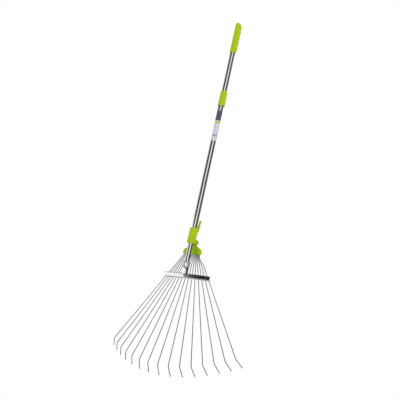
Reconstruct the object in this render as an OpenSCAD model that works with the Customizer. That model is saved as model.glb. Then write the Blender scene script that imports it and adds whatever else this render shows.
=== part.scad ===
// Leaf rake with a telescopic pole. A holder slides along the pole and draws
// a fan of spring wires through a slotted crossbar, which narrows the fan.
//
// +Z runs up the pole, X runs along the crossbar and the hooks point to +Y.
// The origin is on the pole's axis where a wall clip holds the lower tube.
// Every name that ends in _h is a height above the crossbar's lower edge.

/* [Pole] */
// Outside diameter of the lower tube
tube_d = 22; // [20:0.5:23]
// Wall of both tubes
tube_wall = 0.6; // [0.5:0.1:0.8]
// Radial play of the upper tube in the lower one
tube_play = 0.1; // [0.05:0.01:0.2]
// Height of the lower tube's top edge
lower_top_h = 760; // [755:1:765]
// Height where the round tube starts to be pressed flat
press_h = 75; // [65:1:76]
// Height where the flat tongue starts
tongue_h = 34; // [28:1:40]
// Width of the flat tongue
tongue_w = 30; // [24:1:32]
// Thickness of the flat tongue
tongue_t = 3; // [2.5:0.1:3]
// Height of the upper tube's lower end
upper_foot_h = 250; // [250:5:300]
// Height of the wall clip, which is the origin
clip_h = 540; // [520:5:550]

/* [Grip] */
// Height of the grip's lower edge
grip_h = 970; // [900:5:1000]
// Length of the grip
grip_l = 136; // [130:1:145]
// Radius of the grip between its finger bulges
grip_r = 13.4; // [12.5:0.1:14]
// How far a finger bulge stands out
bulge_out = 2.3; // [1.5:0.1:3]
// How far the bulges lean towards the finger side
bulge_lean = 1.6; // [0.5:0.1:2]
// Number of finger bulges
bulges = 5; // [3:1:5]

/* [Twist lock] */
// Height of the collar's lower edge
collar_h = 734; // [730:1:736]
// Length of the collar
collar_l = 66; // [64:1:70]
// Radius of the collar at its lower edge
collar_r = 14.7; // [14.4:0.1:16]

/* [Label] */
// Height of the label's lower edge
label_h = 580; // [570:5:600]
// Length of the label
label_l = 130; // [100:5:130]

/* [Slider] */
// Height of the slider's lower edge
slider_h = 142; // [140:1:150]
// Length of the slider
slider_l = 63; // [60:1:70]
// Outside radius of the slider
slider_r = 17.2; // [16.5:0.1:18]
// Length of the cam lever above its pin
lever_l = 45; // [35:1:50]

/* [Fan] */
// Number of wire tines
tines = 15; // [9:2:15]
// Diameter of a tine
wire_d = 3.5; // [2.5:0.1:3.6]
// Half the width of the fan where the wires leave the holder
holder_span = 39; // [35:1:39]
// Half the width of the fan half-way up the crossbar
bar_span = 110; // [90:1:112]
// Length of the middle tine from the holder to its bend
tine_l = 475; // [420:1:500]
// How much longer the two outer tines are
outer_gain = 12; // [0:1:30]
// Length of a tine's hook
hook_l = 42; // [25:1:50]
// Angle that a hook turns back
hook_a = 39; // [20:1:60]
// How far the holder can slide up the pole
spread_travel = 250; // [150:10:250]

/* [Crossbar] */
// Height of the crossbar
bar_height = 18; // [16:1:22]
// Half the length of the crossbar
bar_half = 122; // [120:1:130]
// Depth of the crossbar's channel
bar_depth = 15.5; // [14:0.5:18]
// Sheet thickness of the crossbar
bar_t = 1.5; // [1:0.1:2]

/* [Hidden] */
$fn = 96;

LIME = [0.56, 0.76, 0.02];
CHROME = [0.78, 0.79, 0.80];
ZINC = [0.66, 0.66, 0.62];
NYLON = [0.16, 0.16, 0.17];

eps = 0.01;
tube_r = tube_d / 2;
bore_r = tube_r - tube_wall;
upper_r = bore_r - tube_play;
wire_r = wire_d / 2;

// Pole: the tongue lies against the crossbar's front face
web_y = 4;
tongue_y = web_y - tongue_t / 2;
tongue_foot_h = 1.5;
tongue_corner = 8;

// Grip
bulge_pitch = 24.3;
bulge_first = 19;
bulge_arc = 22;
grip_wall_top = 12;
grip_dome_r = 30;

// Twist lock
collar_taper = 0.8;
collar_round = 3;
collar_lip = 7;
collet_r = 12.5;
collet_core_r = 11.9;
collet_play = 0.25;
collet_foot_h = collar_h + 4;
collet_top_h = collar_h + collar_l - collar_lip - 2;
collet_slits = 6;

// Slider: the cam lever's pin at its top, the holder's bolt at its foot
slider_play = 0.08;
bearing_l = 12;
relief_r = 13.6;
pin_r = 1.5;
pin_y = 18.5;
pin_up = slider_l - 6;
ear_r = 5.5;
ear_in = 4.6;
ear_out = 7.6;
hub_r = 4.5;
cam_throw = 0.4;
pad_back = pin_y - hub_r - cam_throw - 0.05;
lug_in = 3.6;
lug_out = 9;
lug_y = 27.5;
lug_up = 10;
lug_r = 6.5;
lug_l = 20;
bolt_r = 2.5;

// Holder: two curved shells around an upright axis in front of the pole
holder_foot_h = 102;
pivot_h = holder_foot_h + 3;
holder_y = 27.5;
holder_arc = 141;
holder_axis_y = holder_y - holder_arc;
shell_t = 4.8;
holder_half = 45;
root_top_h = 121;
mouth_l = 4.5;
screw_x = 20;
screw_h = 126;
neck_half = 8;
neck_h = 137.5;

// Crossbar: a channel around an upright axis behind the rake
bar_mid_h = bar_height / 2;
bar_mid_y = 13.8;
bar_arc = 690;
bar_axis_y = bar_mid_y + bar_arc;
bar_bolt_h = bar_mid_h + 1;
slot_play = 0.45;

// Height above the crossbar's lower edge, turned into a Z coordinate
function up(h) = h - clip_h;

// The tine's place across the fan, from -1 on the left to 1 on the right
function across(k) = (2 * k - tines - 1) / (tines - 1);

// Where tine k turns in the holder, and where it crosses the crossbar
function pivot(k) = let (x = holder_span * across(k))
    [x, holder_axis_y + sqrt(holder_arc ^ 2 - x ^ 2), up(pivot_h)];
function crossing(k) = let (x = bar_span * across(k))
    [x, bar_axis_y - sqrt(bar_arc ^ 2 - x ^ 2), up(bar_mid_h)];
function run(k) = crossing(k) - pivot(k);

// Turns that lay the downward direction along the tine
function tilt(k) = asin(run(k).y / norm(run(k)));
function swing(k) = atan2(-run(k).x, -run(k).z);

function tine_name(k) = str("tine_", k < 10 ? "0" : "", k);

module ring(r_out, r_in, l) {
    difference() {
        cylinder(r = r_out, h = l);
        translate([0, 0, -1]) cylinder(r = r_in, h = l + 2);
    }
}

// A cylinder that runs along X and is centred on the origin
module crosswise(r, l, sides = $fn) {
    rotate([0, 90, 0]) cylinder(r = r, h = l, center = true, $fn = sides);
}

// A block given by its lowest corner and its size
module block(from, size) {
    translate(from) cube(size);
}

// ---- pole -----------------------------------------------------------------

// A tube of radius r up to top_h, pressed to a flat end w wide and t thick at foot_h
module pressed_tube(r, w, t, foot_h, top_h) {
    wide = r + 2;
    intersection() {
        rotate_extrude() polygon([
            [0, up(foot_h)], [w / 2, up(foot_h)], [r, up(press_h)], [r, up(top_h)], [0, up(top_h)]]);
        translate([-w, 0, 0]) rotate([90, 0, 90]) linear_extrude(2 * w) polygon([
            [tongue_y - t / 2, up(foot_h) - 1], [tongue_y + t / 2, up(foot_h) - 1],
            [wide, up(press_h)], [wide, up(top_h) + 1], [-wide, up(top_h) + 1],
            [-wide, up(press_h)]]);
    }
}

module tongue() {
    half = tongue_w / 2;
    translate([0, web_y, 0]) rotate([90, 0, 0]) linear_extrude(tongue_t) difference() {
        union() {
            translate([-half, up(tongue_foot_h + tongue_corner)])
                square([tongue_w, tongue_h - tongue_foot_h - tongue_corner + 0.1]);
            translate([tongue_corner - half, up(tongue_foot_h)])
                square([tongue_w - 2 * tongue_corner, tongue_corner + 0.1]);
            for (s = [-1, 1])
                translate([s * (half - tongue_corner), up(tongue_foot_h + tongue_corner)])
                    circle(r = tongue_corner);
        }
        translate([0, up(bar_bolt_h)]) circle(r = 3.2);
    }
}

module lower_tube() {
    color(CHROME) {
        difference() {
            pressed_tube(tube_r, tongue_w - 0.4, tongue_t - 0.2, tongue_h - 1, lower_top_h);
            pressed_tube(bore_r, tongue_w - 3, 0.8, tongue_h + 6, lower_top_h + 1);
        }
        tongue();
    }
}

module upper_tube() {
    color(CHROME) translate([0, 0, up(upper_foot_h)])
        ring(upper_r, upper_r - tube_wall, grip_h + grip_l - grip_wall_top - upper_foot_h);
}

// The bush that guides the upper tube's foot inside the lower tube
module guide_bush() {
    color(NYLON) translate([0, 0, up(upper_foot_h)]) difference() {
        union() {
            translate([0, 0, -13]) cylinder(r = bore_r - 0.05, h = 4);
            translate([0, 0, -9.5]) cylinder(r = bore_r - 0.9, h = 6);
            translate([0, 0, -4]) cylinder(r = bore_r - 0.05, h = 4);
            translate([0, 0, -eps]) cylinder(r = upper_r - tube_wall, h = 22);
        }
        translate([0, 0, -14]) cylinder(r = 6.5, h = 40);
    }
}

// ---- grip -----------------------------------------------------------------

// A barrel-shaped ring, widest at its middle
module bulge() {
    rotate_extrude() intersection() {
        translate([grip_r + bulge_out - bulge_arc, 0]) circle(r = bulge_arc);
        translate([0, -bulge_pitch / 2]) square([bulge_arc, bulge_pitch]);
    }
}

module grip() {
    color(LIME) translate([0, 0, up(grip_h)]) difference() {
        intersection() {
            union() {
                cylinder(r = grip_r, h = grip_l);
                cylinder(r = grip_r + 0.8, h = 5);
                for (i = [0 : bulges - 1])
                    translate([0, bulge_lean, bulge_first + i * bulge_pitch]) bulge();
            }
            union() {
                translate([0, -6, grip_l - grip_dome_r]) sphere(r = grip_dome_r);
                cylinder(r = grip_r + 6, h = grip_l - grip_dome_r);
            }
        }
        translate([0, 0, -1]) cylinder(r = upper_r, h = grip_l - grip_wall_top + 1);
    }
}

// ---- twist lock -----------------------------------------------------------

module lock_collar() {
    top_r = collar_r - collar_taper;
    color(LIME) translate([0, 0, up(collar_h)]) difference() {
        union() {
            cylinder(r1 = collar_r, r2 = top_r, h = collar_l - collar_round);
            rotate_extrude() {
                translate([top_r - collar_round, collar_l - collar_round]) circle(r = collar_round);
                translate([0, collar_l - collar_round - 1])
                    square([top_r - collar_round, collar_round + 1]);
            }
        }
        translate([0, 0, -1]) cylinder(r = collet_r + collet_play, h = collar_l - collar_lip + 1);
        cylinder(r = upper_r + 0.25, h = collar_l + 1);
    }
}

module collet() {
    rib_l = 3;
    slit_foot_h = lower_top_h + 5;
    color(NYLON) difference() {
        union() {
            translate([0, 0, up(collet_foot_h)])
                cylinder(r = collet_core_r, h = collet_top_h - collet_foot_h);
            for (i = [0 : 3])
                translate([0, 0, up(collet_foot_h + 2 * rib_l * i)]) cylinder(r = collet_r, h = rib_l);
            translate([0, 0, up(collet_top_h - 2 * rib_l)]) cylinder(r = collet_r, h = rib_l);
        }
        translate([0, 0, up(collet_foot_h) - 1])
            cylinder(r = tube_r, h = lower_top_h - collet_foot_h + 1);
        translate([0, 0, up(lower_top_h) - 1])
            cylinder(r = upper_r + 0.1, h = collet_top_h - lower_top_h + 2);
        for (i = [0 : collet_slits - 1])
            rotate([0, 0, 360 / collet_slits * i])
                block([5, -0.8, up(slit_foot_h)], [10, 1.6, collet_top_h - slit_foot_h + 1]);
    }
}

module label_sleeve() {
    color("gainsboro") translate([0, 0, up(label_h)]) ring(tube_r + 0.25, tube_r, label_l);
}

// ---- slider and its cam lever ---------------------------------------------

module slider_barrel() {
    chamfer = 1.2;
    cylinder(r1 = slider_r - chamfer, r2 = slider_r, h = chamfer);
    translate([0, 0, chamfer]) cylinder(r = slider_r, h = slider_l - 2 * chamfer);
    translate([0, 0, slider_l - chamfer])
        cylinder(r1 = slider_r, r2 = slider_r - chamfer, h = chamfer);
}

module lever_ears() {
    for (s = [-1, 1]) translate([s * (ear_in + ear_out) / 2, 0, 0]) {
        translate([0, pin_y, pin_up]) crosswise(ear_r, ear_out - ear_in);
        block([-(ear_out - ear_in) / 2, 12, pin_up - ear_r],
              [ear_out - ear_in, pin_y - 12, 2 * ear_r]);
    }
}

module bolt_lugs() {
    for (s = [-1, 1]) translate([s * (lug_in + lug_out) / 2, 0, 0]) {
        translate([0, lug_y, lug_up]) crosswise(lug_r, lug_out - lug_in);
        block([-(lug_out - lug_in) / 2, 13, 0], [lug_out - lug_in, lug_y - 13, lug_l]);
    }
}

module slider_sleeve() {
    color(LIME) translate([0, 0, up(slider_h)]) difference() {
        union() {
            slider_barrel();
            lever_ears();
            bolt_lugs();
        }
        // bearing at each end and a wider bore between them
        translate([0, 0, -1]) cylinder(r = tube_r + slider_play, h = slider_l + 2);
        translate([0, 0, bearing_l]) cylinder(r = relief_r, h = slider_l - 3 * bearing_l);
        // pocket of the pressure pad, and the slot that the cam turns in
        block([-ear_in, 0, pin_up - 5], [2 * ear_in, pad_back + 0.2, 10]);
        block([-ear_in, pad_back, pin_up - 9], [2 * ear_in, 20, 20]);
        translate([0, pin_y, pin_up]) crosswise(pin_r, 4 * ear_out);
        // slot and bolt hole of the holder's tongue
        block([-lug_in, slider_r + 1, -1], [2 * lug_in, 30, lug_l + 2]);
        translate([0, lug_y, lug_up]) crosswise(bolt_r + 0.1, 4 * lug_out);
    }
}

module pressure_pad() {
    color(NYLON) translate([0, 0, up(slider_h)]) difference() {
        block([0.1 - ear_in, 8, pin_up - 4.8], [2 * ear_in - 0.2, pad_back - 8, 9.6]);
        translate([0, 0, -1]) cylinder(r = tube_r + slider_play, h = slider_l + 2);
    }
}

// Side outline of the lever: Y to the right, Z up, with the pin at the origin
module lever_outline() {
    tip_y = 9.5;
    polygon([[-1, 1], [3.6, -2.4], [9, 6], [11.4, 15], [11, 24], [tip_y + 3.4, lever_l - 6],
             [tip_y + 3.2, lever_l - 2], [tip_y, lever_l], [tip_y - 3.4, lever_l - 1],
             [tip_y - 1.4, lever_l - 7], [5.4, 26], [5.2, 14], [3.4, 8]]);
}

module cam_lever() {
    w = 2 * ear_in - 0.6;
    color(LIME) translate([0, pin_y, up(slider_h) + pin_up]) difference() {
        union() {
            translate([0, -cam_throw, 0]) crosswise(hub_r, w);
            translate([-w / 2, 0, 0]) rotate([90, 0, 90]) linear_extrude(w) lever_outline();
        }
        crosswise(pin_r + 0.05, 2 * w);
    }
}

module lever_pin() {
    color(ZINC) translate([0, pin_y, up(slider_h) + pin_up]) crosswise(pin_r, 2 * ear_out);
}

module clamp_bolt() {
    head = 3.5;
    color(ZINC) translate([0, lug_y, up(slider_h) + lug_up]) difference() {
        union() {
            translate([2, 0, 0]) crosswise(bolt_r, 2 * lug_out + 4 + eps);
            translate([-lug_out - head / 2, 0, 0]) crosswise(4.6, head);
        }
        translate([-lug_out - head, 0, 0]) crosswise(2.3, 3, 6);
    }
}

module clamp_nut() {
    color(ZINC) translate([lug_out + 2, lug_y, up(slider_h) + lug_up]) difference() {
        crosswise(4.6, 4, 6);
        crosswise(bolt_r, 10);
    }
}

// ---- tine holder ----------------------------------------------------------

// A curved wall around the holder's axis, between two radii and two heights
module holder_wall(r_in, r_out, half_x, foot_h, top_h) {
    a = asin(half_x / holder_arc);
    translate([0, holder_axis_y, up(foot_h)]) rotate([0, 0, 90 - a])
        rotate_extrude(angle = 2 * a, $fn = 360)
            translate([r_in, 0]) square([r_out - r_in, top_h - foot_h]);
}

// Front outline of the holder: sloping shoulders up to the neck
module shoulders() {
    translate([0, 60, 0]) rotate([90, 0, 0]) linear_extrude(60)
        polygon([[-holder_half, up(holder_foot_h)], [-holder_half, up(118)],
                 [-42, up(122.5)], [-13, up(137)], [13, up(137)], [42, up(122.5)],
                 [holder_half, up(118)], [holder_half, up(holder_foot_h)]]);
}

// What the two shells leave free for the wires: a close grip above, a wide mouth below
module wire_pocket() {
    holder_wall(holder_arc - wire_r - 0.05, holder_arc + wire_r + 0.05, holder_half - 1.5,
                holder_foot_h - 1, root_top_h + 0.2);
    holder_wall(holder_arc - wire_r - 0.9, holder_arc + wire_r + 0.9, holder_half - 1.5,
                holder_foot_h - 1, holder_foot_h + mouth_l);
}

module screw_places() {
    for (s = [-1, 1]) translate([s * screw_x, holder_y - 1.4, up(screw_h)]) rotate([90, 0, 0]) children();
}

module holder_front() {
    color(LIME) difference() {
        union() {
            intersection() {
                holder_wall(holder_arc - shell_t, holder_arc, holder_half + 4, holder_foot_h, 140);
                shoulders();
            }
            screw_places() cylinder(r1 = 5.6, r2 = 4.4, h = 5.5);
        }
        holder_wall(holder_arc, holder_arc + 20, holder_half + 4, holder_foot_h - 1, 160);
        wire_pocket();
        screw_places() translate([0, 0, -10]) cylinder(r = 1.5, h = 13);
    }
}

module holder_back() {
    color(LIME) difference() {
        union() {
            intersection() {
                holder_wall(holder_arc, holder_arc + shell_t, holder_half + 4, holder_foot_h, 140);
                shoulders();
            }
            // neck, and the tongue that the slider's lugs hold
            block([-neck_half, holder_y + 1, up(screw_h)],
                  [2 * neck_half, shell_t, slider_h - 0.4 - screw_h]);
            block([-neck_half, holder_y - 3.5, up(neck_h)],
                  [2 * neck_half, 5, slider_h - 0.4 - neck_h]);
            block([0.1 - lug_in, slider_r + 3, up(neck_h + 1)],
                  [2 * lug_in - 0.2, lug_y + lug_r - slider_r - 4, slider_h + lug_l - neck_h - 2]);
        }
        holder_wall(holder_arc - 20, holder_arc, holder_half + 4, holder_foot_h - 2, neck_h - 0.2);
        wire_pocket();
        translate([0, lug_y, up(slider_h + lug_up)]) crosswise(bolt_r + 0.1, 4 * lug_out);
        screw_places() translate([0, 0, -20]) cylinder(r = 1.7, h = 40);
        // flat seats of the screw heads
        screw_places() translate([0, 0, -10]) cylinder(r = 3.4, h = 5);
    }
}

module holder_screws() {
    color(ZINC) screw_places() {
        translate([0, 0, -5.2]) cylinder(r = 1.5, h = 8);
        translate([0, 0, -7.2]) cylinder(r1 = 2.4, r2 = 3, h = 2.2);
    }
}

module tine_roots() {
    root_foot = wire_r + 0.45;
    color(ZINC) for (k = [1 : tines])
        translate([0, 0, root_foot] + pivot(k)) cylinder(r = wire_r, h = root_top_h - pivot_h - root_foot);
}

// ---- fan ------------------------------------------------------------------

// A length of wire that hangs from the origin, with a tapered end above or below
module wire(l, top_end = 0, foot_end = 0) {
    rotate_extrude() polygon([[0, top_end], [wire_r - 0.6, top_end], [wire_r, 0], [wire_r, -l],
                              [wire_r - 0.6, -l - foot_end], [0, -l - foot_end]]);
}

module tine(k) {
    to_bend = tine_l + outer_gain * across(k) ^ 2;
    color(ZINC) translate(pivot(k)) rotate([tilt(k), swing(k), 0]) {
        wire(to_bend, top_end = 1.4);
        translate([0, 0, -to_bend]) {
            sphere(r = wire_r + 0.2);
            rotate([hook_a, 0, 0]) wire(hook_l, foot_end = 1.6);
        }
    }
}

// ---- crossbar -------------------------------------------------------------

module bar_sweep(r_in, r_out, foot, l) {
    a = asin(bar_half / bar_arc);
    translate([0, bar_axis_y, up(foot)]) rotate([0, 0, -90 - a])
        rotate_extrude(angle = 2 * a, $fn = 720) translate([r_in, 0]) square([r_out - r_in, l]);
}

// The slot that tine k needs in one flange, from its widest to its narrowest lie
module tine_slot(k, flange_h) {
    rise = flange_h - bar_mid_h;
    wide = run(k) / abs(run(k).z) * -rise;
    narrow = run(k) / (abs(run(k).z) + spread_travel) * -rise;
    grow_x = wire_r / cos(atan(run(k).x / run(k).z)) + slot_play + 0.6;
    grow_y = wire_r + slot_play;
    low = [min(wide.x, narrow.x) - grow_x, min(wide.y, narrow.y) - grow_y];
    high = [max(wide.x, narrow.x) + grow_x, max(wide.y, narrow.y) + grow_y];
    translate([crossing(k).x, crossing(k).y, up(flange_h)])
        translate([low.x, low.y, -bar_t]) cube([high.x - low.x, high.y - low.y, 2 * bar_t]);
}

module crossbar() {
    front_r = bar_axis_y - web_y;
    color(ZINC) difference() {
        union() {
            bar_sweep(front_r - bar_t, front_r, 0, bar_height);
            bar_sweep(front_r - bar_depth, front_r - bar_t / 2, 0, bar_t);
            bar_sweep(front_r - bar_depth, front_r - bar_t / 2, bar_height - bar_t, bar_t);
        }
        for (k = [1 : tines]) {
            tine_slot(k, bar_t / 2);
            tine_slot(k, bar_height - bar_t / 2);
        }
        translate([0, 0, up(bar_bolt_h)]) rotate([-90, 0, 0]) cylinder(r = 3.2, h = 10);
    }
}

// A cylinder along Y from y1 to y2 at the crossbar's bolt
module bolt_stage(r, y1, y2, sides = $fn) {
    translate([0, y1, up(bar_bolt_h)]) rotate([-90, 0, 0]) cylinder(r = r, h = y2 - y1, $fn = sides);
}

washer_y = web_y - tongue_t - 1.2;
nut_y = web_y + bar_t + 0.1;

module crossbar_bolt() {
    color(ZINC) {
        bolt_stage(3, washer_y - 1, nut_y + 4.6);
        bolt_stage(5.6, washer_y - 4, washer_y, 6);
    }
}

module crossbar_washer() {
    color(ZINC) difference() {
        bolt_stage(6.2, washer_y, web_y - tongue_t);
        bolt_stage(3.2, washer_y - 1, web_y);
    }
}

module crossbar_nut() {
    color(ZINC) difference() {
        bolt_stage(5.6, nut_y, nut_y + 4, 6);
        bolt_stage(3, nut_y - 1, nut_y + 5);
    }
}

grip();
upper_tube();
guide_bush();
lock_collar();
collet();
lower_tube();
label_sleeve();
slider_sleeve();
pressure_pad();
cam_lever();
lever_pin();
clamp_bolt();
clamp_nut();
holder_front();
holder_back();
holder_screws();
tine_roots();
crossbar();
crossbar_bolt();
crossbar_washer();
crossbar_nut();
for (k = [1 : tines])
    tine(k);
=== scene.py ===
# %% [markdown]
# # A leaf rake in chromed tube, lime plastic and spring wire
# We dress a working model of an adjustable leaf rake. Our work is the looks,
# and a part whose shape is too plain gets a finer piece that stands for it and
# rides on the same body.

# %% Load the frame
import math

import bmesh
import bpy
from mathutils import Matrix, Vector


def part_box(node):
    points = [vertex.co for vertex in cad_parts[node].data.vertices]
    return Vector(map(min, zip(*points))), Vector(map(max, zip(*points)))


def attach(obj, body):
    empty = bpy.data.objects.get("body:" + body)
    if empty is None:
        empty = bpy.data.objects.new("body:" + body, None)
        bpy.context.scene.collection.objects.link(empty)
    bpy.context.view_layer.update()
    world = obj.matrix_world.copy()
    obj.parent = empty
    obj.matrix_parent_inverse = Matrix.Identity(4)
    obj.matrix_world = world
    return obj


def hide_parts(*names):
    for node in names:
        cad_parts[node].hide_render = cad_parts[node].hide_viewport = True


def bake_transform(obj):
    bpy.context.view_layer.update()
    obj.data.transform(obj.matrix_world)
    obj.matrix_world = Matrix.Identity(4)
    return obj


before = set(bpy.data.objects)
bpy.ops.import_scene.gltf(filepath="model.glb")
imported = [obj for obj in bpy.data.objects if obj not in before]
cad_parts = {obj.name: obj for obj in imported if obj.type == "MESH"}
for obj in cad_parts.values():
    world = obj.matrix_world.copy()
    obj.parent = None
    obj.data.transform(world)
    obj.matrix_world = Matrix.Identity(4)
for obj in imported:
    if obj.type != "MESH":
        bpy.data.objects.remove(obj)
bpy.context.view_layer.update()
MM = 0.001
bar_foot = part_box("crossbar")[0].z


def above_bar(height_mm):
    """The Z of a height that is measured in millimetres from the crossbar's lower edge."""
    return bar_foot + height_mm * MM


def add_object(name, data):
    """A new object in the scene that shows this data."""
    made = bpy.data.objects.new(name, data)
    bpy.context.scene.collection.objects.link(made)
    return made


def mesh_from(bm, name):
    """A new mesh with what was built in bm, which is used up."""
    mesh = bpy.data.meshes.new(name)
    bm.to_mesh(mesh)
    bm.free()
    return mesh


# %% [markdown]
# ## The camera
# The rake leans in the picture, but the model stands upright. So the camera does
# the leaning: it stands low, to the right of the crossbar's front, looks a little
# upwards, and rolls round its own line of sight. A long lens keeps the tubes
# nearly parallel. We build the camera's three axes from the angles and put them
# into its matrix, which is less error-prone than stacking three rotations.

# %% Camera
CAMERA_AZIMUTH, CAMERA_ELEVATION, CAMERA_ROLL = (math.radians(a) for a in (41.6, -10.5, 12.38))
CAMERA_DISTANCE = 4.502
CAMERA_TARGET = Vector((-0.0023, 0, above_bar(325.7)))
SENSOR_WIDTH, LENS = 36, 98.8


def around(azimuth, elevation=0.0):
    """The direction from the rake towards a place round it: 0 is in front of the crossbar."""
    return Vector((math.sin(azimuth) * math.cos(elevation),
                   -math.cos(azimuth) * math.cos(elevation), math.sin(elevation)))


back = around(CAMERA_AZIMUTH, CAMERA_ELEVATION)
level = Vector((math.cos(CAMERA_AZIMUTH), math.sin(CAMERA_AZIMUTH), 0))
above = back.cross(level)
side = level * math.cos(CAMERA_ROLL) + above * math.sin(CAMERA_ROLL)
top = above * math.cos(CAMERA_ROLL) - level * math.sin(CAMERA_ROLL)

camera_data = bpy.data.cameras.new("camera")
camera_data.sensor_width = SENSOR_WIDTH
camera_data.lens = LENS
camera = add_object("camera", camera_data)
axes = Matrix((side, top, back)).transposed()
camera.matrix_world = Matrix.Translation(CAMERA_TARGET + back * CAMERA_DISTANCE) @ axes.to_4x4()
bpy.context.scene.camera = camera
print("camera at", tuple(round(c, 3) for c in camera.matrix_world.translation))

# %% [markdown]
# ## The studio
# Chrome has no colour of its own. It shows what stands around it, so a studio
# photographer lights the room, not the tube: a broad soft panel in front gives
# the bright middle line, and two black cards at its sides draw the dark lines
# that make a tube look round. The plastic needs more light than the chrome can
# bear, so four of the panels are left out of reflections and light only what is
# not a mirror. No card or panel is seen by the camera. The surround is white for
# the camera, as a paper backdrop is, and much dimmer for everything else.

# %% Surround and floor
BACKDROP_STRENGTH, ROOM_STRENGTH = 1.0, 0.27
FLOOR_RADIUS, FLOOR_BELOW_TIPS = 2.0, 0.33


def matt(name, colour):
    """A plain matt paint, for the things that stand round the rake."""
    paint = bpy.data.materials.new(name)
    paint.use_nodes = True
    shader = paint.node_tree.nodes["Principled BSDF"]
    shader.inputs["Base Color"].default_value = (*colour, 1)
    shader.inputs["Roughness"].default_value = 0.9
    return paint


world = bpy.data.worlds.new("studio")
bpy.context.scene.world = world
world.use_nodes = True
world_nodes, world_links = world.node_tree.nodes, world.node_tree.links
backdrop = world_nodes["Background"]
backdrop.inputs["Color"].default_value = (1, 1, 1, 1)
backdrop.inputs["Strength"].default_value = BACKDROP_STRENGTH
room = world_nodes.new("ShaderNodeBackground")
room.inputs["Color"].default_value = (0.97, 0.98, 1.0, 1)
room.inputs["Strength"].default_value = ROOM_STRENGTH
who_looks = world_nodes.new("ShaderNodeLightPath")
paper = world_nodes.new("ShaderNodeMixShader")
world_links.new(who_looks.outputs["Is Camera Ray"], paper.inputs["Fac"])
world_links.new(room.outputs[0], paper.inputs[1])
world_links.new(backdrop.outputs[0], paper.inputs[2])
world_links.new(paper.outputs[0], world_nodes["World Output"].inputs["Surface"])
bpy.context.scene.view_settings.view_transform = "Standard"

FLOOR_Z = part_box("tine_08")[0].z - FLOOR_BELOW_TIPS
floor_bm = bmesh.new()
bmesh.ops.create_circle(floor_bm, cap_ends=True, segments=96, radius=FLOOR_RADIUS)
bmesh.ops.translate(floor_bm, verts=floor_bm.verts, vec=(0, 0, FLOOR_Z))
floor = add_object("floor", mesh_from(floor_bm, "floor"))
floor.data.materials.append(matt("pale_floor", (0.9, 0.9, 0.9)))
print("floor at", round(FLOOR_Z, 3))

# %% Soft panels and black cards
card_black = matt("card_black", (0.030, 0.026, 0.022))


def soft_panel(name, azimuth_deg, distance, height, width, tall, brightness, mirrored):
    """A rectangular area light that faces the pole's axis and isn't seen itself.

    The brightness is that of its face: 1 looks white in a mirror. A panel that isn't
    mirrored lights the plastic and leaves the chrome alone."""
    data = bpy.data.lights.new(name, "AREA")
    data.shape, data.size, data.size_y = "RECTANGLE", width, tall
    data.energy = brightness * math.pi * width * tall
    panel = add_object(name, data)
    direction = around(math.radians(azimuth_deg))
    panel.location = direction * distance + Vector((0, 0, height))
    panel.rotation_euler = direction.to_track_quat("Z", "Y").to_euler()
    panel.visible_camera = False
    panel.visible_glossy = mirrored
    return panel


def black_card(name, azimuth_deg, distance, width, foot, head):
    """A tall dark card that faces the pole's axis, for its reflection alone."""
    bm = bmesh.new()
    bmesh.ops.create_grid(bm, x_segments=1, y_segments=1, size=0.5)
    bmesh.ops.scale(bm, verts=bm.verts, vec=(width, head - foot, 1))
    for angle, axis in ((90, "X"), (azimuth_deg, "Z")):
        bmesh.ops.rotate(bm, verts=bm.verts, matrix=Matrix.Rotation(math.radians(angle), 3, axis))
    place = around(math.radians(azimuth_deg)) * distance + Vector((0, 0, (foot + head) / 2))
    bmesh.ops.translate(bm, verts=bm.verts, vec=place)
    card = add_object(name, mesh_from(bm, name))
    card.data.materials.append(card_black)
    card.visible_camera = False
    return card


panels = [soft_panel(*row) for row in (
    # name, azimuth, distance, height, width, tall, brightness, mirrored
    ("panel_front", 43, 3.2, 0.5, 3.1, 3.2, 0.62, True),
    ("panel_left", -58, 3.2, -0.4, 2.1, 1.3, 1.05, True),
    ("key", 88, 2.0, 0.5, 1.6, 2.4, 1.9, False),
    ("fill", -38, 2.0, 0.3, 1.6, 2.4, 1.5, False),
    ("behind", 195, 2.6, 0.4, 2.0, 2.4, 0.7, False),
    ("overhead", 0, 0.0, 2.8, 3.0, 3.0, 3.0, False))]
panels[-1].rotation_euler = (0, 0, 0)  # the overhead panel looks straight down
cards = [black_card(*row) for row in (
    # name, azimuth, distance, width, foot, head
    ("card_left", -14, 2.3, 2.36, -1.2, 2.6),
    ("card_right", 101, 2.3, 2.3, -1.2, 2.6))]
print("panels:", len(panels), "cards:", len(cards))

# %% [markdown]
# ## Finishes
# Every finish is a small network of nodes that reads Object coordinates, so it
# stays on the piece as it moves and needs no picture file. The same steps come
# back each time: one noise varies the colour, one varies how rough the surface
# is, and a fine one makes a little relief.

# %% Helpers for the finishes


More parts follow.
